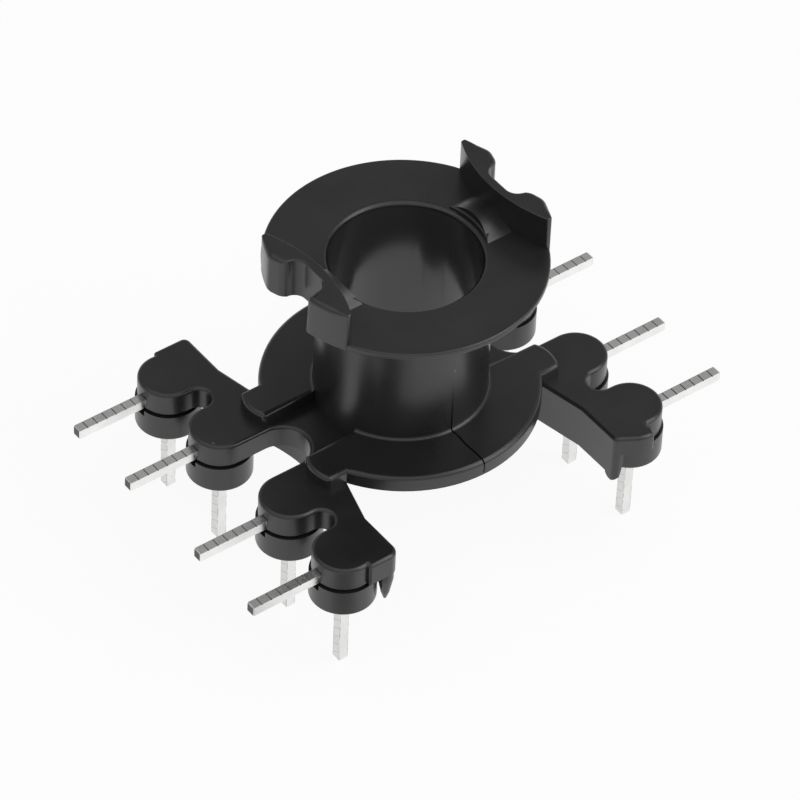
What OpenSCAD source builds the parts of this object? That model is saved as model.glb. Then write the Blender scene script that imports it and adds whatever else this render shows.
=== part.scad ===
// Coil former for a power transformer with a round centre post.
// One black moulding carries eight bright L-shaped terminal pins.
// Origin: on the bore axis, at the bore's lower mouth.
// +Z points up, the two terminal rows stand at +X and -X.

/* [Winding space] */
// Diameter of the bore for the core's centre post
bore_d = 13; // [12.6:0.1:13.2]
// Wall of the winding tube
tube_wall = 1; // [0.9:0.05:1.1]
// Diameter of both flanges
flange_d = 24.3; // [24:0.1:24.6]
// Width of the winding space between the flanges
winding_w = 13.65; // [10:0.05:18]
// Thickness of the base flange
base_t = 1.5; // [1.4:0.1:2]
// Thickness of the top flange
top_t = 0.65; // [0.5:0.05:0.9]

/* [Core clearance] */
// Distance from the bore axis to the core-side faces at the core's waist
waist_x = 8.8; // [8.6:0.1:9]
// Radius by which the core-side faces flare away from the waist
flare_r = 14; // [13:0.5:16]
// Distance from the bore axis to the wings' straight inner faces
leg_x = 11.3; // [11.1:0.1:11.5]
// Extra setback of the straight inner face at the keyed corner
key_setback = 0.3; // [0.1:0.05:0.4]

/* [Top walls] */
// Height of the standing walls above the top flange
wall_h = 3.3; // [2:0.1:5]
// Distance from the bore axis to the bottom of each wire notch
notch_x = 9.65; // [9.5:0.05:9.8]
// Height of the low crown between the bore and each wall
crown_h = 1; // [0.6:0.1:1.2]

/* [Terminal pins] */
// Side of the square pin
pin_w = 0.9; // [0.7:0.05:1]
// Distance from the bore axis to each terminal row
row_x = 15.24; // [15:0.02:15.5]
// Distance of the inner pins from the middle of a row
inner_y = 5.08; // [5:0.02:5.16]
// Distance of the outer pins from the middle of a row
outer_y = 12.7; // [12.5:0.02:12.8]
// Distance from the bore axis to the pins' side tips
pin_reach = 24.8; // [21:0.1:27]
// Depth of the pins' board tips below the bore's lower mouth
pin_drop = 13; // [8:0.1:16]
// Clearance around each pin in the moulding
pin_gap = 0.02; // [0.01:0.01:0.04]

/* [Terminal wings] */
// Thickness of the wings
wing_t = 2.2; // [2:0.05:2.4]
// Step down from the top of the base flange to the top of the wings
wing_step = 1.2; // [1:0.05:1.4]
// Outer half width of the wings
wing_y = 15.75; // [15.6:0.05:16]
// Radius of the pods that hold the pins
pod_r = 2.7; // [2.6:0.05:2.8]
// Radius of the discs under the pods
disc_r = 2.9; // [2.85:0.05:3.1]
// Depth of the discs below the bore's lower mouth
disc_drop = 4.75; // [4.5:0.05:5.2]
// Depth of the core-side ribs below the bore's lower mouth
rib_drop = 4.1; // [3.6:0.1:4.4]
// Thickness of the core-side ribs
rib_t = 0.85; // [0.7:0.05:0.9]

/* [Hidden] */
$fn = 96;
over = 1;

bore_r = bore_d / 2;
tube_r = bore_r + tube_wall;
flange_r = flange_d / 2;
mouth_bevel = 0.45;
root_fillet = 0.35;
base_round = 0.4;
top_round = 0.2;

// Levels of the spool
top_under = base_t + winding_w;
top_face = top_under + top_t;
wall_top = top_face + wall_h;

// Plan of the core-side faces
flare_x = waist_x + flare_r;
flare_y = 6.4;
flare_end_x = flare_x - sqrt(flare_r * flare_r - flare_y * flare_y);
leg_y = 10.8;

// Wire notch in each top wall
notch_r = 1.1;
wall_r = flange_r + 0.05;
wall_y = 6.05;
wall_z = top_under + 0.08;
notch_y = 1;
mouth_x = notch_x + 1.55;
mouth_y = 2.4;
mouth_side_x = wall_r + 0.2;
mouth_side_y = 6;

// Low crown beside each top wall
crown_y = 2.75;
crown_r = (crown_y * crown_y + crown_h * crown_h) / (2 * crown_h);
crown_x = bore_r + mouth_bevel + 0.15;

// Levels of the wings
wing_top = base_t - wing_step;
wing_under = wing_top - wing_t;
groove_h = 0.25;
disc_notch = 0.6;
groove_r = pod_r - 0.25;

// Wire channel and flange tabs at the base
channel_y = 2.95;
tab_y = 6.4;
tab_r = 3.2;
tab_x = 9.5;

// Gap between the two wings of a row
gap_y = inner_y - pod_r;
gap_x = 10 + gap_y;

// Recess between the two pods of a wing
recess_y = (inner_y + outer_y) / 2;
recess_r = (outer_y - inner_y) / 2 - pod_r;
recess_x = 13.7 + recess_r;

// Rounded inner corner of each wing, and of the keyed one
corner_r = 0.6;
key_corner_r = 1;

// Tooth under the inner corner of each wing
foot_r = 0.7;
foot_y = wing_y - foot_r + 0.05;
foot_tip = 0.4;
foot_drop = rib_drop + 0.55;

// Pointed tooth at the keyed corner, and where the rib behind it ends
key_tooth_r = 0.68;
key_tooth_drop = rib_drop + 1.1;
key_rib_y = wing_y - 1.2;

// Pin bend, at the middle of the pin
bend_r = pin_w;
pin_z = wing_under + 0.09 + pin_w / 2;
row_y = [-outer_y, -inner_y, inner_y, outer_y];

PINS = 8;

// Pins count anticlockwise from above, starting at the wedge-marked corner.
function pin_turn(i) = i <= PINS / 2 ? 0 : 180;
function pin_y(i) = row_y[(i - 1) % 4];

module both_sides() {
  for (turn = [0, 180])
    rotate(turn)
      children();
}

// Moves a shape of the +X, +Y corner to another corner
module at_corner(side_x, side_y) {
  mirror([side_x < 0 ? 1 : 0, 0, 0])
    mirror([0, side_y < 0 ? 1 : 0, 0])
      children();
}

module both_halves() {
  for (flip = [0, 1])
    mirror([0, flip, 0])
      children();
}

// Disc with a rounded rim, flat on its lower or upper face
module rimmed_disc(r, t, lower_round, upper_round) {
  rotate_extrude()
    union() {
      translate([0, lower_round])
        square([r, t - lower_round - upper_round]);
      square([r - lower_round, t]);
      translate([0, t - upper_round - 0.001])
        square([r - upper_round, upper_round + 0.001]);
      if (upper_round > 0)
        translate([r - upper_round, t - upper_round])
          circle(upper_round);
      if (lower_round > 0)
        translate([r - lower_round, lower_round])
          circle(lower_round);
    }
}

// Tube and both flanges, before the wire channels are cut
module spool() {
  cylinder(r = tube_r, h = top_face);
  rimmed_disc(flange_r, base_t, 0, base_round);
  translate([0, 0, top_under])
    rimmed_disc(flange_r, top_t, top_round, top_round);
  translate([0, 0, base_t])
    root_ring();
  translate([0, 0, top_under])
    mirror([0, 0, 1])
      root_ring();
}

// Fillet between the tube and a flange
module root_ring() {
  rotate_extrude()
    translate([tube_r, 0])
      difference() {
        translate([-0.1, -0.1])
          square(root_fillet + 0.1);
        translate([root_fillet, root_fillet])
          circle(root_fillet);
      }
}

// Bore with a bevelled upper mouth
module bore() {
  translate([0, 0, -over])
    cylinder(r = bore_r, h = top_face + 2 * over);
  translate([0, 0, top_face - mouth_bevel])
    cylinder(r1 = bore_r, r2 = bore_r + 2 * mouth_bevel, h = 2 * mouth_bevel);
}

// Space outside the core's waist, seen from above
module core_side_plan() {
  intersection() {
    translate([flare_x, 0])
      circle(flare_r);
    translate([0, -flare_y])
      square([row_x, 2 * flare_y]);
  }
}

// Standing wall that fits the opening of the core's top plate
module top_wall() {
  translate([0, 0, wall_z])
    linear_extrude(wall_top - wall_z)
      intersection() {
        circle(wall_r);
        translate([flare_x, 0])
          circle(flare_r);
        translate([0, -wall_y])
          square([wall_r + over, 2 * wall_y]);
      }
}

// Wire notch through a top wall and the flange under it, eased on one or both sides
module wire_notch(both_eased) {
  eased_side = [
    [wall_r + over, mouth_side_y],
    [mouth_side_x, mouth_side_y],
    [mouth_x, mouth_y]
  ];
  straight_side = [
    [wall_r + over, mouth_y]
  ];
  translate([0, 0, top_under - over])
    linear_extrude(wall_top - top_under + 2 * over)
      union() {
        for (side = [-1, 1])
          translate([notch_x + notch_r, side * notch_y])
            circle(notch_r);
        translate([notch_x, -notch_y])
          square([notch_r, 2 * notch_y]);
        polygon(concat(
          [
            [notch_x + notch_r, notch_y + notch_r],
            [notch_x + notch_r, -notch_y - notch_r],
            [mouth_x, -mouth_y],
            [mouth_side_x, -mouth_side_y],
            [wall_r + over, -mouth_side_y]
          ],
          both_eased ? eased_side : straight_side
        ));
      }
}

// Low rounded crown between the bore and a top wall
module crown() {
  difference() {
    intersection() {
      translate([0, 0, top_face + crown_h - crown_r])
        rotate([0, 90, 0])
          cylinder(r = crown_r, h = waist_x + 0.3);
      translate([0, -crown_y, top_under + 0.1])
        cube([waist_x + 0.3, 2 * crown_y, top_t + crown_h]);
    }
    cylinder(r = crown_x, h = wall_top);
  }
}

// Wing without its pods, seen from above
module wing_outline(corner_x, round_r) {
  union() {
    polygon([
      [flare_end_x, flare_y],
      [corner_x, leg_y],
      [corner_x, wing_y - round_r],
      [corner_x + round_r, wing_y],
      [row_x - 0.5, wing_y],
      [row_x - 0.5, outer_y],
      [row_x, outer_y],
      [row_x, inner_y],
      [flare_end_x + 0.4, inner_y]
    ]);
    translate([corner_x + round_r, wing_y - round_r])
      circle(round_r);
  }
}

// One wing of a terminal row, seen from above
module wing_plan(corner_x, round_r) {
  difference() {
    union() {
      wing_outline(corner_x, round_r);
      for (y = [inner_y, outer_y])
        translate([row_x, y])
          circle(pod_r);
    }
    translate([recess_x, recess_y])
      circle(recess_r);
    translate([recess_x, recess_y - recess_r])
      square([pod_r + row_x - recess_x, 2 * recess_r]);
  }
}

// All four wings, joined in pairs at the core's waist
module wings() {
  translate([0, 0, wing_under])
    linear_extrude(wing_t)
      union() {
        both_sides()
          core_side_plan();
        at_corner(1, 1)
          wing_plan(leg_x, corner_r);
        at_corner(1, -1)
          wing_plan(leg_x, corner_r);
        at_corner(-1, 1)
          wing_plan(leg_x, corner_r);
        at_corner(-1, -1)
          wing_plan(leg_x + key_setback, key_corner_r);
      }
  both_sides()
    both_halves()
      flange_tab();
}

// What hangs under the wings: ribs, pod discs and teeth
module wing_undersides() {
  both_sides()
    rib_waist();
  for (side = [[1, 1], [1, -1], [-1, 1]])
    at_corner(side[0], side[1]) {
      wing_underside(leg_x, corner_r, foot_y);
      foot(leg_x, corner_r);
    }
  at_corner(-1, -1) {
    wing_underside(leg_x + key_setback, key_corner_r, key_rib_y);
    key_tooth(leg_x + key_setback);
  }
}

module wing_underside(corner_x, round_r, rib_end) {
  rib_arm(corner_x, round_r, rib_end);
  for (y = [inner_y, outer_y])
    translate([row_x, y, 0])
      pod_disc();
}

// Gap between the two wings of a row, with a round inner end
module row_gap() {
  translate([0, 0, wing_under - over])
    linear_extrude(base_t - wing_under + 2 * over)
      union() {
        translate([gap_x, 0])
          circle(gap_y);
        translate([gap_x, -gap_y])
          square([row_x + pod_r - gap_x, 2 * gap_y]);
      }
}

// Rib under a terminal row, curved round the core's waist
module rib_waist() {
  translate([0, 0, -rib_drop])
    linear_extrude(rib_drop + wing_under + 0.1)
      difference() {
        core_side_plan();
        translate([flare_x, 0])
          circle(flare_r - rib_t);
      }
}

// Rib under the inner edge of one wing
module rib_arm(corner_x, round_r, rib_end) {
  translate([0, 0, -rib_drop])
    linear_extrude(rib_drop + wing_under + 0.1)
      intersection() {
        wing_outline(corner_x, round_r);
        polygon([
          [waist_x, flare_y - 1],
          [flare_end_x + rib_t - 0.4, flare_y - 1],
          [flare_end_x + rib_t, flare_y],
          [corner_x + rib_t, leg_y],
          [corner_x + rib_t, rib_end],
          [waist_x, rib_end]
        ]);
      }
}

// Disc under a pod, parted from it by a narrow groove and notched under the pin
module pod_disc() {
  difference() {
    translate([0, 0, -disc_drop])
      cylinder(r = disc_r, h = disc_drop + wing_under - groove_h);
    translate([disc_r - disc_notch, -pin_w / 2, wing_under - groove_h - disc_notch])
      cube([over, pin_w, over + disc_notch]);
  }
  translate([0, 0, wing_under - groove_h - 0.1])
    cylinder(r = groove_r, h = groove_h + 0.2);
}

// Blunt tab that carries the base flange out over a wing
module flange_tab() {
  translate([0, 0, wing_top - 0.1])
    linear_extrude(base_t - wing_top + 0.1)
      intersection() {
        translate([tab_x, (channel_y + tab_y) / 2])
          circle(tab_r);
        translate([waist_x, channel_y - 0.1])
          square([row_x - waist_x, tab_y - channel_y + 0.1]);
      }
}

// Round-ended tooth under the inner corner of a wing, thinner towards its tip
module foot(corner_x, round_r) {
  intersection() {
    translate([0, 0, -foot_drop - over])
      linear_extrude(foot_drop + over + wing_under + 0.1)
        wing_outline(corner_x, round_r);
    translate([0, wing_y + over, 0])
      rotate([90, 0, 0])
        linear_extrude(3 * foot_r + over)
          polygon([
            [waist_x, wing_under + over],
            [corner_x + rib_t, wing_under + over],
            [corner_x + rib_t, wing_under - rib_t],
            [corner_x + foot_tip, -foot_drop - 0.1],
            [waist_x, -foot_drop - 0.1]
          ]);
    translate([waist_x, foot_y, 0])
      rotate([90, 0, 90])
        linear_extrude(row_x - waist_x)
          union() {
            polygon([
              [-foot_r, over],
              [-foot_r, foot_r - foot_drop],
              [foot_r, foot_r - foot_drop],
              [foot_r, over]
            ]);
            translate([0, foot_r - foot_drop])
              circle(foot_r);
          }
  }
}

// Round tooth under the keyed corner, drawn to a blunt point
module key_tooth(corner_x) {
  translate([corner_x + key_tooth_r + 0.22, wing_y - key_tooth_r - 0.09, 0])
    rotate_extrude()
      polygon([
        [0, wing_under + 0.1],
        [key_tooth_r, wing_under + 0.1],
        [key_tooth_r, 1.3 - rib_drop],
        [0.82 * key_tooth_r, 0.6 - rib_drop],
        [0.56 * key_tooth_r, -0.35 - rib_drop],
        [0.2 * key_tooth_r, -key_tooth_drop],
        [0, -key_tooth_drop]
      ]);
}

// Wedge that marks the corner of the first pin
module corner_wedge() {
  translate([0, 0, wing_under + 0.3])
    linear_extrude(wing_t - 0.3)
      polygon([
        [leg_x + 0.5, -wing_y + 0.5],
        [leg_x + 0.25, -wing_y + 0.16],
        [leg_x + 1.8, -wing_y - 0.8],
        [leg_x + 2.6, -wing_y - 1],
        [row_x - 0.6, -wing_y - 0.95],
        [row_x - 0.3, -wing_y + 0.1]
      ]);
}

// Wire channel across the base flange, from the tube to the gap between the wings
module wire_channel() {
  difference() {
    translate([0, -channel_y, wing_top])
      cube([row_x, 2 * channel_y, base_t + over]);
    cylinder(r = tube_r, h = top_face);
  }
}

// Bar along +X with a square section and a bevelled end
module square_bar(w, length, tip) {
  profile = [
    [0, -w / 2],
    [length - tip, -w / 2],
    [length, -w / 2 + 0.6 * tip],
    [length, w / 2 - 0.6 * tip],
    [length - tip, w / 2],
    [0, w / 2]
  ];
  intersection() {
    translate([0, 0, -w / 2])
      linear_extrude(w)
        polygon(profile);
    rotate([90, 0, 0])
      translate([0, 0, -w / 2])
        linear_extrude(w)
          polygon(profile);
  }
}

// L-shaped pin of the +X row, grown by a gap all round
module pin_shape(gap, side_tip, board_tip) {
  w = pin_w + 2 * gap;
  translate([row_x + bend_r, 0, pin_z])
    square_bar(w, pin_reach - row_x - bend_r + gap, side_tip);
  translate([row_x, 0, pin_z - bend_r])
    rotate([0, 90, 0])
      square_bar(w, pin_drop + pin_z - bend_r + gap, board_tip);
  translate([row_x + bend_r, 0, pin_z - bend_r])
    rotate([90, 0, 0])
      rotate(90)
        rotate_extrude(angle = 90)
          translate([bend_r - w / 2, -w / 2])
            square(w);
}

module bobbin_body() {
  color([0.1, 0.1, 0.11])
    difference() {
      union() {
        difference() {
          union() {
            spool();
            wings();
          }
          both_sides() {
            wire_channel();
            row_gap();
          }
        }
        both_sides() {
          top_wall();
          crown();
        }
        wing_undersides();
        corner_wedge();
      }
      bore();
      wire_notch(true);
      rotate(180)
        wire_notch(false);
      for (i = [1 : PINS])
        rotate(pin_turn(i))
          translate([0, pin_y(i), 0])
            pin_shape(pin_gap, 0, 0);
    }
}

module terminal_pin(i) {
  color([0.8, 0.8, 0.79])
    rotate(pin_turn(i))
      translate([0, pin_y(i), 0])
        pin_shape(0, 0.12, 0.4);
}

bobbin_body();

for (i = [1 : PINS])
  terminal_pin(i);
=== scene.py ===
"""Black coil former with tinned terminal pins, on a white table."""
import math

import bmesh
import bpy
from mathutils import Matrix, Vector


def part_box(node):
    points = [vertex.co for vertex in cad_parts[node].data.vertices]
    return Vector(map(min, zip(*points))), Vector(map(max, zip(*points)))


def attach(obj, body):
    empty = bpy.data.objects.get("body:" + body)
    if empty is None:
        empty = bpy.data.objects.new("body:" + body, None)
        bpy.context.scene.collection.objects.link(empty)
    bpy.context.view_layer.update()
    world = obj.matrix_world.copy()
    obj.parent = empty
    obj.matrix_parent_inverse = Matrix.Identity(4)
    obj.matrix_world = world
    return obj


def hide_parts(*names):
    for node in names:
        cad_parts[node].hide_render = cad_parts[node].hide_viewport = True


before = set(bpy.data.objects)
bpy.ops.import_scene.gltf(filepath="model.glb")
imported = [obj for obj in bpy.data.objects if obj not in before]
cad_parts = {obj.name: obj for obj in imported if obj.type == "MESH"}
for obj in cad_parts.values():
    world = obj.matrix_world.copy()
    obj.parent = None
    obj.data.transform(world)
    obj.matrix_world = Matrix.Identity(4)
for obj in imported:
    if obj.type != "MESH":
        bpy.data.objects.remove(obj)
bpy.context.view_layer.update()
MM = 0.001

# Levels and radii of the moulding, in millimetres, as the CAD has them
WALL_TOP = 19.1
TOP_FACE = 15.8
TOP_UNDER = 15.15
BASE_TOP = 1.5
WING_TOP = 0.3
DISC_UNDER = -4.75
TABLE_Z = -13.0
FLANGE_R = 12.15
WALL_Y = 6.05
FLARE_X = 22.8
FLARE_R = 14.0
TUBE_R = 7.5
BORE_R = 6.5

# Pins, in millimetres, as the CAD has them
ROW_X = 15.24
PIN_Y = (5.08, 12.7)
PIN_TOP = -0.91
PIN_TIP_X = 24.8
PIN_W = 0.9
PIN_COUNT = 8

# Rounding of the moulding's edges, in millimetres
WING_ROUND = 0.28
RIM_ROUND = 0.34
DISC_ROUND = 0.15
UPRIGHT_ROUND = 0.2
HORN_ROUND = 0.35
WALL_END_ROUND = 0.12
ROUND_STEPS = 3
WALL_STEPS = 4

# How far a wall's top rolls over, in millimetres
ROLL_INSIDE = 0.1
ROLL_LEAST = 0.2
ROLL_GROWTH = 0.2
ROLL_SPAN = 1.4
ROLL_FROM_R = FLANGE_R - 1.55
ROLL_END = 0.12
ROLL_END_GROWTH = 0.3

# Where things stand on the moulding, in millimetres
POD_X = 12.5
TAB_R = 11
HORN_Y = 2.2
WALL_END_Y = 5.5

# Score marks across the top of each side leg, in millimetres, cut by cubes stood on edge
SCORE_START = 23.9
SCORE_PITCH = 0.98
SCORE_COUNT = 7
SCORE_W = 0.09
SCORE_DEPTH = 0.045
HALF_DIAGONAL = 0.7071
SCORE_RISE = SCORE_W * HALF_DIAGONAL - SCORE_DEPTH
CUTTER_REACH = 1.4

# Hairline where the flow fronts met, in millimetres
LINE_X = -0.2
LINE_Y = -7.0
LINE_HALF_W = 0.08
LINE_WANDER = 0.3
LINE_BOTTOM = 0.2
LINE_TOP = 7.0
LINE_FADE = 4.5

# Painted shade patch of the table, seen only in reflections, which the nearest discs mirror, in
# millimetres
PATCH_PLACE = (-25.2, -28.4, 0)
PATCH_SPREAD = 50

# Camera of the photograph: degrees, then millimetres
CAMERA_TURN = (-38.428, 44.003, 2.588)
CAMERA_AIM = (-0.764, -0.963, 0.227)
CAMERA_DISTANCE = 489.305
CAMERA_LENS = 257.8
CAMERA_SENSOR = 36
CAMERA_SHIFT = (0.00075, -0.001)

# Limits for sorting edges and merging points
NEARLY = 0.01
MERGE = 2e-6
FLAT = math.radians(0.2)
WALL_SHARP = math.radians(20)
ROUND_SHARP = math.radians(28)
SHADE_SHARP = math.radians(30)

RELIEF = 0.02


# Shader helpers

def new_material(name):
    mat = bpy.data.materials.new(name)
    mat.use_nodes = True
    tree = mat.node_tree
    tree.nodes.clear()
    out = tree.nodes.new("ShaderNodeOutputMaterial")
    bsdf = tree.nodes.new("ShaderNodeBsdfPrincipled")
    tree.links.new(bsdf.outputs["BSDF"], out.inputs["Surface"])
    return mat, tree, bsdf


def object_coordinates(tree):
    return tree.nodes.new("ShaderNodeTexCoord").outputs["Object"]


def split(tree, vector):
    """The X, Y and Z of a vector."""
    node = tree.nodes.new("ShaderNodeSeparateXYZ")
    tree.links.new(vector, node.inputs[0])
    return node.outputs["X"], node.outputs["Y"], node.outputs["Z"]


def math_node(tree, operation, a, b=None):
    node = tree.nodes.new("ShaderNodeMath")
    node.operation = operation
    for socket, value in zip(node.inputs, (a, b)):
        if value is None:
            continue
        if isinstance(value, (int, float)):
            socket.default_value = value
        else:
            tree.links.new(value, socket)
    return node.outputs[0]


def vector_node(tree, operation, vector, fixed=None):
    node = tree.nodes.new("ShaderNodeVectorMath")
    node.operation = operation
    tree.links.new(vector, node.inputs[0])
    if fixed is not None:
        node.inputs[1].default_value = fixed
    return node.outputs


def ramp(tree, factor, stops):
    node = tree.nodes.new("ShaderNodeValToRGB")
    elements = node.color_ramp.elements
    while len(elements) < len(stops):
        elements.new(0.5)
    for element, (position, value) in zip(elements, stops):
        element.position = position
        element.color = (value, value, value, 1) if isinstance(value, float) else (*value, 1)
    tree.links.new(factor, node.inputs["Fac"])
    return node.outputs["Color"]


def noise(tree, vector, scale, detail):
    node = tree.nodes.new("ShaderNodeTexNoise")
    node.inputs["Scale"].default_value = scale
    node.inputs["Detail"].default_value = detail
    node.inputs["Roughness"].default_value = 0.5
    tree.links.new(vector, node.inputs["Vector"])
    return node.outputs["Fac"]


def overlay(tree, under, colour, mask, blend="MIX"):
    """Lay a colour over another one where a mask says so."""
    node = tree.nodes.new("ShaderNodeMix")
    node.data_type = "RGBA"
    node.blend_type = blend
    node.inputs["B"].default_value = (*colour, 1)
    tree.links.new(under, node.inputs["A"])
    tree.links.new(mask, node.inputs["Factor"])
    return node.outputs["Result"]


def relief(tree, bsdf, height, strength):
    """Raise and sink the surface by a height."""
    bump = tree.nodes.new("ShaderNodeBump")
    bump.inputs["Strength"].default_value = strength
    bump.inputs["Distance"].default_value = RELIEF * MM
    tree.links.new(height, bump.inputs["Height"])
    tree.links.new(bump.outputs["Normal"], bsdf.inputs["Normal"])


def either(tree, mask, usual, other):
    """One shader where a mask is nought, the other where it is one."""
    node = tree.nodes.new("ShaderNodeMixShader")
    tree.links.new(mask, node.inputs[0])
    tree.links.new(usual, node.inputs[1])
    tree.links.new(other, node.inputs[2])
    return node.outputs[0]


# Satin black moulding with fine grain, pale specks, a worn bore and one hairline

def dust_specks(tree, co):
    """Strength of the few pale specks."""
    cells = tree.nodes.new("ShaderNodeTexVoronoi")
    cells.inputs["Scale"].default_value = 420
    tree.links.new(co, cells.inputs["Vector"])
    near = math_node(tree, "LESS_THAN", cells.outputs["Distance"], 0.05)
    draw = tree.nodes.new("ShaderNodeSeparateColor")
    tree.links.new(cells.outputs["Color"], draw.inputs[0])
    rare = math_node(tree, "GREATER_THAN", draw.outputs[0], 0.86)
    return math_node(tree, "MULTIPLY", math_node(tree, "MULTIPLY", near, rare), 0.8)


def inside_bore(tree, co):
    """One on the wall of the bore, nought elsewhere."""
    flat = vector_node(tree, "MULTIPLY", co, (1, 1, 0))["Vector"]
    radius = vector_node(tree, "LENGTH", flat)["Value"]
    return math_node(tree, "LESS_THAN", radius, (BORE_R + 0.06) * MM)


def hairline(tree, co):
    """Mask of the flow line at -Y, full on the base flange and fading up the tube."""
    x, y, z = split(tree, co)
    sway = math_node(tree, "SUBTRACT", noise(tree, co, 500, 2), 0.5)
    wander = math_node(tree, "MULTIPLY", sway, LINE_WANDER * MM)
    off = math_node(tree, "ADD", math_node(tree, "SUBTRACT", x, LINE_X * MM), wander)
    thin = math_node(tree, "LESS_THAN", math_node(tree, "ABSOLUTE", off), LINE_HALF_W * MM)
    front = math_node(tree, "LESS_THAN", y, LINE_Y * MM)
    fade = math_node(tree, "DIVIDE", math_node(tree, "SUBTRACT", LINE_TOP * MM, z), LINE_FADE * MM)
    low = math_node(tree, "MINIMUM", math_node(tree, "MAXIMUM", fade, 0.0), 1.0)
    high = math_node(tree, "GREATER_THAN", z, LINE_BOTTOM * MM)
    spot = math_node(tree, "MULTIPLY", thin, front)
    return math_node(tree, "MULTIPLY", spot, math_node(tree, "MULTIPLY", low, high))


def moulded_grain(tree, co, bore, seam):
    """Height of the grain, with the hairline sunk in and scratches round the bore."""
    grain = math_node(tree, "MULTIPLY", noise(tree, co, 5200, 3), 0.7)
    fine = math_node(tree, "MULTIPLY", noise(tree, co, 14000, 2), 0.3)
    height = math_node(tree, "ADD", grain, fine)
    height = math_node(tree, "SUBTRACT", height, math_node(tree, "MULTIPLY", seam, 3.0))
    drawn_out = vector_node(tree, "MULTIPLY", co, (0.12, 0.12, 3.0))["Vector"]
    scratch = math_node(tree, "MULTIPLY", noise(tree, drawn_out, 2400, 2), bore)
    return math_node(tree, "ADD", height, scratch)


def moulding_material():
    mat, tree, bsdf = new_material("moulding")
    co = object_coordinates(tree)
    cloud = noise(tree, co, 260, 4)
    bore = inside_bore(tree, co)
    seam = hairline(tree, co)

    colour = ramp(tree, cloud, [(0.3, (0.011, 0.011, 0.0118)), (0.7, (0.015, 0.015, 0.016))])
    colour = overlay(tree, colour, (0.12, 0.12, 0.12), dust_specks(tree, co))
    colour = overlay(tree, colour, (0.027, 0.027, 0.028), bore)
    colour = overlay(tree, colour, (0.002, 0.002, 0.002), seam)
    tree.links.new(colour, bsdf.inputs["Base Color"])
    tree.links.new(seam, bsdf.inputs["Metallic"])

    satin = ramp(tree, cloud, [(0.25, 0.26), (0.75, 0.34)])
    polish = math_node(tree, "MULTIPLY", bore, 0.14)
    tree.links.new(math_node(tree, "SUBTRACT", satin, polish), bsdf.inputs["Roughness"])
    bsdf.inputs["IOR"].default_value = 1.6
    bsdf.inputs["Specular IOR Level"].default_value = 0.5
    relief(tree, bsdf, moulded_grain(tree, co, bore, seam), 0.1)
    return mat


# Bright tin plate with faint drawing lines, painted shade in the grooves where the feed rollers scored it,
# and painted shade on the legs

def score_shade_mask(tree, x, z):
    """One in the score marks on top of the side legs, nought elsewhere; it marks where shade is painted
    into the score grooves.
    """
    along = math_node(tree, "SUBTRACT", SCORE_START * MM, math_node(tree, "ABSOLUTE", x))
    turn = math_node(tree, "ADD", math_node(tree, "DIVIDE", along, SCORE_PITCH * MM), 0.5)
    near = math_node(tree, "ABSOLUTE", math_node(tree, "SUBTRACT", math_node(tree, "FRACT", turn), 0.5))
    thin = math_node(tree, "LESS_THAN", near, 0.55 * SCORE_W / SCORE_PITCH)
    high = math_node(tree, "GREATER_THAN", z, (PIN_TOP - 1.5 * SCORE_DEPTH) * MM)
    leg = math_node(tree, "GREATER_THAN", turn, 0.0)
    return math_node(tree, "MULTIPLY", math_node(tree, "MULTIPLY", thin, high), leg)


def leg_nicks(tree, co, side, broad):
    """Strength of the rubbed corners and the slanting tool marks on the board legs."""
    _, y, z = split(tree, co)
    row = math_node(tree, "ABSOLUTE", y)
    across = [
        math_node(tree, "ABSOLUTE", math_node(tree, "SUBTRACT", row, pin_y * MM)) for pin_y in PIN_Y
    ]
    corner = math_node(tree, "ADD", side, math_node(tree, "MINIMUM", *across))
    arris = math_node(tree, "GREATER_THAN", corner, (PIN_W - 0.045) * MM)
    broken = ramp(tree, noise(tree, co, 1500, 2), [(0.42, 0.0), (0.58, 0.8)])
    slant = math_node(tree, "ADD", z, math_node(tree, "MULTIPLY", y, 0.6))
    beat = math_node(tree, "FRACT", math_node(tree, "DIVIDE", slant, SCORE_PITCH * MM))
    mark = math_node(tree, "MULTIPLY", math_node(tree, "LESS_THAN", beat, 0.1), 0.4)
    rubbed = math_node(tree, "MULTIPLY", arris, broken)
    return math_node(tree, "MAXIMUM", rubbed, math_node(tree, "MULTIPLY", mark, broad))


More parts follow.
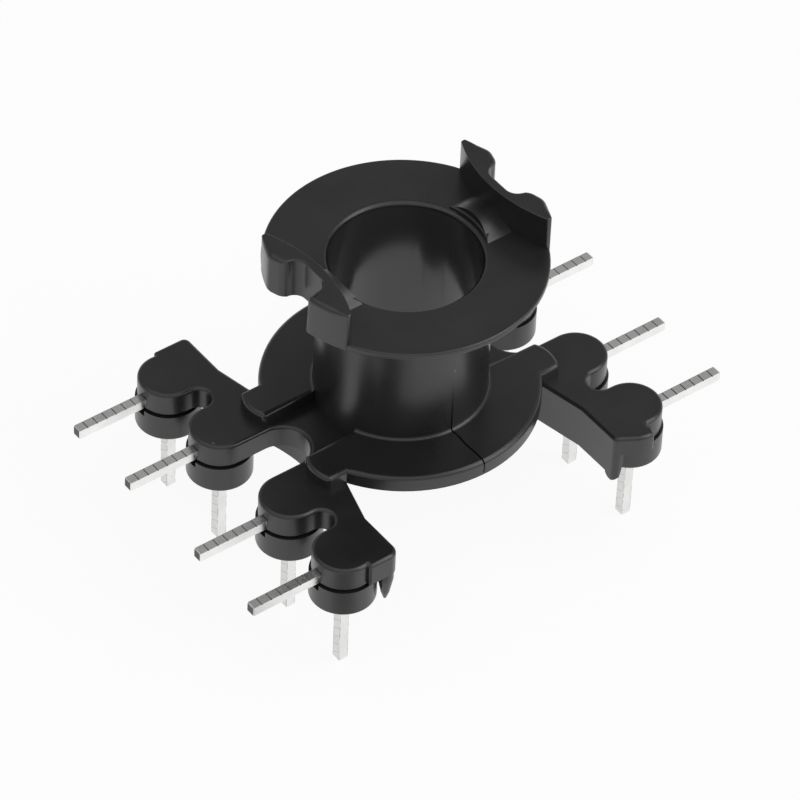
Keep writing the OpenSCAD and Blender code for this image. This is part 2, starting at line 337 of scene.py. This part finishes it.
def tin_material():
    mat, tree, bsdf = new_material("tinned_pin")
    co = object_coordinates(tree)
    x, _, z = split(tree, co)
    reach = math_node(tree, "ABSOLUTE", x)
    side = math_node(tree, "ABSOLUTE", math_node(tree, "SUBTRACT", reach, ROW_X * MM))
    broad = math_node(tree, "GREATER_THAN", side, (PIN_W / 2 - 0.003) * MM)
    leg = math_node(tree, "LESS_THAN", z, DISC_UNDER * MM)
    cut_end = math_node(tree, "GREATER_THAN", reach, (PIN_TIP_X - 0.02) * MM)
    # Painted shade on the legs: their colour is darkened, most on the faces that look along X, less on
    # those that look along Y
    shade = math_node(tree, "ADD", math_node(tree, "MULTIPLY", broad, 0.6), 0.4)
    painted_leg_shade = math_node(tree, "MULTIPLY", leg, shade)
    nicks = math_node(tree, "MULTIPLY", leg_nicks(tree, co, side, broad), leg)
    pits = ramp(tree, noise(tree, co, 2600, 1), [(0.74, 0.0), (0.84, 0.4)])
    patch = noise(tree, co, 700, 3)
    fine = noise(tree, co, 4500, 2)

    colour = ramp(tree, patch, [(0.3, (0.84, 0.835, 0.82)), (0.7, (0.92, 0.915, 0.905))])
    colour = overlay(tree, colour, (0.3, 0.28, 0.25), pits)
    # Painted shade: the score grooves are darkened in colour
    colour = overlay(tree, colour, (0.25, 0.245, 0.24), score_shade_mask(tree, x, z))
    colour = overlay(tree, colour, (0.74, 0.74, 0.745), painted_leg_shade, "MULTIPLY")
    colour = overlay(tree, colour, (0.2, 0.19, 0.18), math_node(tree, "MULTIPLY", nicks, 0.75))
    colour = overlay(tree, colour, (0.06, 0.048, 0.04), cut_end)
    tree.links.new(colour, bsdf.inputs["Base Color"])
    bsdf.inputs["Metallic"].default_value = 1.0
    tree.links.new(ramp(tree, fine, [(0.3, 0.2), (0.7, 0.3)]), bsdf.inputs["Roughness"])

    drawn = tree.nodes.new("ShaderNodeTexWave")
    drawn.bands_direction = "DIAGONAL"
    drawn.inputs["Scale"].default_value = 700
    drawn.inputs["Distortion"].default_value = 2.0
    tree.links.new(co, drawn.inputs["Vector"])
    lines = math_node(tree, "MULTIPLY", drawn.outputs["Fac"], 0.5)
    relief(tree, bsdf, math_node(tree, "ADD", lines, fine), 0.03)
    return mat


# White paper: lighter to the camera than it is lit so that the shadow stays soft,
# and with a painted shade patch, seen only in reflections, in what the nearest discs mirror

def table_material():
    mat, tree, bsdf = new_material("table_paper")
    co = object_coordinates(tree)
    paper = ramp(tree, noise(tree, co, 60, 2), [(0.3, 0.9), (0.7, 0.92)])
    tree.links.new(paper, bsdf.inputs["Base Color"])
    bsdf.inputs["Roughness"].default_value = 1.0
    bsdf.inputs["Specular IOR Level"].default_value = 0.0
    white = tree.nodes.new("ShaderNodeEmission")
    white.inputs["Strength"].default_value = 1.0

    # Painted shade: glossy rays see the table dimmer around one spot
    away = vector_node(tree, "DISTANCE", co, [v * MM for v in PATCH_PLACE])["Value"]
    spread = math_node(tree, "DIVIDE", away, PATCH_SPREAD * MM)
    sheen = tree.nodes.new("ShaderNodeEmission")
    tree.links.new(ramp(tree, spread, [(0.14, 0.5), (0.26, 1.0)]), sheen.inputs["Color"])
    sheen.inputs["Strength"].default_value = 1.0

    path = tree.nodes.new("ShaderNodeLightPath")
    to_camera = math_node(tree, "MULTIPLY", path.outputs["Is Camera Ray"], 0.92)
    seen = either(tree, to_camera, bsdf.outputs["BSDF"], white.outputs[0])
    mirrored = either(tree, path.outputs["Is Glossy Ray"], seen, sheen.outputs[0])
    tree.links.new(mirrored, tree.nodes["Material Output"].inputs["Surface"])
    return mat


# Pieces made from the CAD nodes

def merged_copy(node_name):
    """A node's mesh with its points merged and its flat faces whole."""
    bm = bmesh.new()
    bm.from_mesh(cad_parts[node_name].data)
    bmesh.ops.remove_doubles(bm, verts=bm.verts, dist=MERGE)
    bmesh.ops.dissolve_limit(bm, angle_limit=FLAT, verts=bm.verts, edges=bm.edges, delimit={"NORMAL"})
    bmesh.ops.recalc_face_normals(bm, faces=bm.faces)
    return bm


def new_object(name, bm):
    mesh = bpy.data.meshes.new(name)
    bm.to_mesh(mesh)
    bm.free()
    obj = bpy.data.objects.new(name, mesh)
    bpy.context.scene.collection.objects.link(obj)
    return obj


def plain_piece(obj):
    """Turn an object's modifiers into its own mesh."""
    depsgraph = bpy.context.evaluated_depsgraph_get()
    obj.data = bpy.data.meshes.new_from_object(obj.evaluated_get(depsgraph), depsgraph=depsgraph)
    obj.modifiers.clear()
    return obj


# Rounded skin of the moulding

def ends_of(edge):
    return [v.co / MM for v in edge.verts]


def is_upright(a, b):
    return math.hypot(a.x - b.x, a.y - b.y) < NEARLY


def edge_width(edge):
    """Rounding for a sharp edge below the top flange, in millimetres."""
    a, b = ends_of(edge)
    mid = (a + b) / 2
    level = abs(a.z - b.z) < NEARLY
    r = math.hypot(mid.x, mid.y)

    def at(z):
        return level and abs(mid.z - z) < 2 * NEARLY

    if mid.z > TOP_UNDER - 0.1:
        return 0.0
    if at(WING_TOP):
        return WING_ROUND if edge.is_convex else 0.0
    if at(BASE_TOP) and edge.is_convex and r > TUBE_R + 0.5:
        return RIM_ROUND
    if at(DISC_UNDER) and abs(mid.x) > POD_X:
        return DISC_ROUND
    if is_upright(a, b) and edge.is_convex and max(a.z, b.z) > WING_TOP - 0.05 and r > TAB_R:
        return UPRIGHT_ROUND
    return 0.0


def wall_corner(edge, ends):
    """Whether an edge is an upright corner of a wall, at its thin ends or between them."""
    a, b = ends_of(edge)
    tall = max(a.z, b.z) > WALL_TOP - NEARLY and abs(a.z - b.z) > 1
    sharp = edge.is_manifold and edge.calc_face_angle(0) > WALL_SHARP
    placed = abs(a.y) > HORN_Y and (abs(a.y) > WALL_END_Y) == ends
    return is_upright(a, b) and tall and sharp and edge.is_convex and placed


def round_wall_corners(bm):
    """Ease the upright edges of the two top walls, less at their thin ends."""
    for ends, width in ((False, HORN_ROUND), (True, WALL_END_ROUND)):
        bmesh.ops.bevel(
            bm, geom=[edge for edge in bm.edges if wall_corner(edge, ends)], offset=width * MM,
            offset_type="OFFSET", segments=WALL_STEPS, profile=0.5, affect="EDGES", clamp_overlap=False,
        )


def roll_radius(p):
    """How far a wall's top rolls over: most on the outside, least at the thin ends."""
    if abs(math.hypot(abs(p.x) - FLARE_X, p.y) - FLARE_R) < 0.05:
        full = ROLL_INSIDE
    else:
        outward = max(0.0, math.hypot(p.x, p.y) - ROLL_FROM_R)
        full = ROLL_LEAST + ROLL_GROWTH * min(ROLL_SPAN, outward)
    return min(full, ROLL_END + ROLL_END_GROWTH * max(0.0, WALL_Y - abs(p.y)))


def inward_steps(spots):
    """At each point of an outline, the step that keeps both its sides one unit in."""
    steps = []
    for i, spot in enumerate(spots):
        before = (spot - spots[i - 1]).normalized()
        after = (spots[(i + 1) % len(spots)] - spot).normalized()
        n1 = Vector((-before.y, before.x, 0))
        n2 = Vector((-after.y, after.x, 0))
        steps.append((n1 + n2) / max(0.6, 1 + n1.dot(n2)))
    return steps


def round_wall_tops(bm):
    """Roll the top face of each wall over into its sides."""
    tops = [
        face for face in bm.faces
        if face.normal.z > 0.9 and min(v.co.z for v in face.verts) > (WALL_TOP - NEARLY) * MM
    ]
    for top in tops:
        outline = list(top.verts)
        spots = [v.co.copy() for v in outline]
        inward = inward_steps(spots)
        radius = [roll_radius(p / MM) * MM for p in spots]
        bmesh.ops.delete(bm, geom=[top], context="FACES_ONLY")
        for vert, r in zip(outline, radius):
            vert.co.z -= r
        lower = outline
        for step in range(1, WALL_STEPS + 1):
            angle = math.radians(90 * step / WALL_STEPS)
            upper = [
                bm.verts.new(p + m * r * (1 - math.cos(angle)) - Vector((0, 0, r * (1 - math.sin(angle)))))
                for p, m, r in zip(spots, inward, radius)
            ]
            for i in range(len(spots)):
                j = (i + 1) % len(spots)
                bm.faces.new((lower[i], lower[j], upper[j], upper[i]))
            lower = upper
        bm.faces.new(lower)


def soft_lip(edge):
    """The rounded mouth of the bore, which shades as one curve."""
    return all(
        BORE_R - 0.05 < math.hypot(p.x, p.y) < BORE_R + 0.5 and TOP_FACE - 0.5 < p.z < TOP_FACE + 0.02
        for p in ends_of(edge)
    )


def rounded_body():
    bm = merged_copy("bobbin_body")
    round_wall_corners(bm)
    round_wall_tops(bm)
    bm.normal_update()
    weights = bm.edges.layers.float.new("bevel_weight_edge")
    for edge in bm.edges:
        angle = edge.calc_face_angle(0) if edge.is_manifold else 0
        edge.smooth = angle < SHADE_SHARP or soft_lip(edge)
        if angle > ROUND_SHARP:
            edge[weights] = edge_width(edge)
    for face in bm.faces:
        face.smooth = True
    obj = new_object("bobbin_skin", bm)
    bevel = obj.modifiers.new("round", "BEVEL")
    bevel.limit_method = "WEIGHT"
    bevel.width = 1.0 * MM
    bevel.segments = ROUND_STEPS
    bevel.use_clamp_overlap = False
    even = obj.modifiers.new("even", "WEIGHTED_NORMAL")
    even.keep_sharp = True
    return plain_piece(obj)


# Pins: the CAD shape, scored across by a row of cutters

def group_input(tree, name, kind, value):
    socket = tree.interface.new_socket(name=name, in_out="INPUT", socket_type=kind)
    if value is not None:
        socket.default_value = value
    return socket.identifier


def score_tree(tin):
    tree = bpy.data.node_groups.new("score_marks", "GeometryNodeTree")
    tree.interface.new_socket(name="Geometry", in_out="INPUT", socket_type="NodeSocketGeometry")
    inputs = {
        name: group_input(tree, name, kind, value)
        for name, kind, value in (
            ("First Mark", "NodeSocketVector", None),
            ("Step", "NodeSocketVector", None),
            ("Count", "NodeSocketInt", SCORE_COUNT),
            ("Width", "NodeSocketFloat", SCORE_W * MM),
            ("Pin Width", "NodeSocketFloat", PIN_W * MM),
        )
    }
    tree.interface.new_socket(name="Geometry", in_out="OUTPUT", socket_type="NodeSocketGeometry")
    into = tree.nodes.new("NodeGroupInput")
    out = tree.nodes.new("NodeGroupOutput")
    line = tree.nodes.new("GeometryNodeMeshLine")
    tree.links.new(into.outputs["Count"], line.inputs["Count"])
    tree.links.new(into.outputs["First Mark"], line.inputs["Start Location"])
    tree.links.new(into.outputs["Step"], line.inputs["Offset"])
    size = tree.nodes.new("ShaderNodeCombineXYZ")
    wide = math_node(tree, "MULTIPLY", into.outputs["Pin Width"], CUTTER_REACH)
    tree.links.new(into.outputs["Width"], size.inputs["X"])
    tree.links.new(wide, size.inputs["Y"])
    tree.links.new(into.outputs["Width"], size.inputs["Z"])
    cutter = tree.nodes.new("GeometryNodeMeshCube")
    tree.links.new(size.outputs[0], cutter.inputs["Size"])
    on_edge = tree.nodes.new("GeometryNodeTransform")
    on_edge.inputs["Rotation"].default_value = (0, math.radians(45), 0)
    tree.links.new(cutter.outputs["Mesh"], on_edge.inputs["Geometry"])
    row = tree.nodes.new("GeometryNodeInstanceOnPoints")
    tree.links.new(line.outputs["Mesh"], row.inputs["Points"])
    tree.links.new(on_edge.outputs["Geometry"], row.inputs["Instance"])
    real = tree.nodes.new("GeometryNodeRealizeInstances")
    tree.links.new(row.outputs["Instances"], real.inputs["Geometry"])
    cut = tree.nodes.new("GeometryNodeMeshBoolean")
    cut.operation = "DIFFERENCE"
    cut.solver = "EXACT"
    tree.links.new(into.outputs["Geometry"], cut.inputs["Mesh 1"])
    tree.links.new(real.outputs["Geometry"], cut.inputs["Mesh 2"])
    finish = tree.nodes.new("GeometryNodeSetMaterial")
    finish.inputs["Material"].default_value = tin
    tree.links.new(cut.outputs["Mesh"], finish.inputs["Geometry"])
    tree.links.new(finish.outputs["Geometry"], out.inputs[0])
    return tree, inputs


def scored_pin(name, tree, inputs):
    bm = merged_copy(name)
    for face in bm.faces:
        face.smooth = False
    obj = new_object(name + "_scored", bm)
    low, high = (Vector(corner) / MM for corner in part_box(name))
    side = 1 if low.x + high.x > 0 else -1
    first = Vector((side * SCORE_START, (low.y + high.y) / 2, PIN_TOP + SCORE_RISE))
    marks = obj.modifiers.new("score", "NODES")
    marks.node_group = tree
    marks[inputs["First Mark"]] = first * MM
    marks[inputs["Step"]] = Vector((-side * SCORE_PITCH, 0, 0)) * MM
    marks[inputs["Count"]] = SCORE_COUNT
    marks[inputs["Width"]] = SCORE_W * MM
    marks[inputs["Pin Width"]] = PIN_W * MM
    return plain_piece(obj)


# Camera, light and table

def place_camera():
    azimuth, elevation, roll = (math.radians(a) for a in CAMERA_TURN)
    back = Vector((
        math.sin(azimuth) * math.cos(elevation),
        -math.cos(azimuth) * math.cos(elevation),
        math.sin(elevation),
    ))
    right = Vector((0, 0, 1)).cross(back).normalized()
    up = back.cross(right)
    across = math.cos(roll) * right + math.sin(roll) * up
    over = -math.sin(roll) * right + math.cos(roll) * up
    data = bpy.data.cameras.new("camera")
    data.lens = CAMERA_LENS
    data.sensor_width = CAMERA_SENSOR
    data.shift_x, data.shift_y = CAMERA_SHIFT
    data.clip_start = 0.01
    data.clip_end = 20
    camera = bpy.data.objects.new("camera", data)
    turn = Matrix((across, over, back)).transposed().to_4x4()
    place = (Vector(CAMERA_AIM) + back * CAMERA_DISTANCE) * MM
    camera.matrix_world = Matrix.Translation(place) @ turn
    bpy.context.scene.collection.objects.link(camera)
    bpy.context.scene.camera = camera


def area_light(name, place, size, power):
    """A round lamp, in metres and watts, that shines at the origin."""
    data = bpy.data.lights.new(name, "AREA")
    data.shape = "DISK"
    data.size = size
    data.energy = power
    light = bpy.data.objects.new(name, data)
    light.location = place
    light.rotation_euler = (-Vector(place)).to_track_quat("-Z", "Y").to_euler()
    bpy.context.scene.collection.objects.link(light)


def make_table():
    bm = bmesh.new()
    bmesh.ops.create_grid(bm, x_segments=1, y_segments=1, size=3)
    table = new_object("table", bm)
    table.location = (0, 0, TABLE_Z * MM)
    table.data.materials.append(table_material())


def make_world():
    """White to the camera, and a pale sky that darkens upwards to all else."""
    world = bpy.data.worlds.new("studio")
    bpy.context.scene.world = world
    world.use_nodes = True
    tree = world.node_tree
    tree.nodes.clear()
    out = tree.nodes.new("ShaderNodeOutputWorld")
    sky = tree.nodes.new("ShaderNodeBackground")
    _, _, height = split(tree, tree.nodes.new("ShaderNodeTexCoord").outputs["Generated"])
    tone = ramp(tree, height, [(0.03, 0.8), (0.35, 0.36), (0.68, 0.33), (0.88, 0.08)])
    tree.links.new(tone, sky.inputs["Color"])
    white = tree.nodes.new("ShaderNodeBackground")
    white.inputs["Color"].default_value = (1, 1, 1, 1)
    path = tree.nodes.new("ShaderNodeLightPath")
    seen = either(tree, path.outputs["Is Camera Ray"], sky.outputs[0], white.outputs[0])
    tree.links.new(seen, out.inputs["Surface"])


place_camera()
make_world()
make_table()
area_light("overhead", (-0.15, -0.18, 0.93), 2.0, 7)
area_light("window", (0.45, -0.2, 0.87), 0.45, 0.9)
area_light("side", (0.5, -0.62, 0.48), 0.7, 2.6)

moulding = moulding_material()
tin = tin_material()

body = rounded_body()
body.data.materials.clear()
body.data.materials.append(moulding)
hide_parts("bobbin_body")
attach(body, "root")

score, score_inputs = score_tree(tin)
for number in range(1, PIN_COUNT + 1):
    node_name = "terminal_pin_%d" % number
    pin = scored_pin(node_name, score, score_inputs)
    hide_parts(node_name)
    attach(pin, "root")

scene = bpy.context.scene
scene.view_settings.view_transform = "Standard"
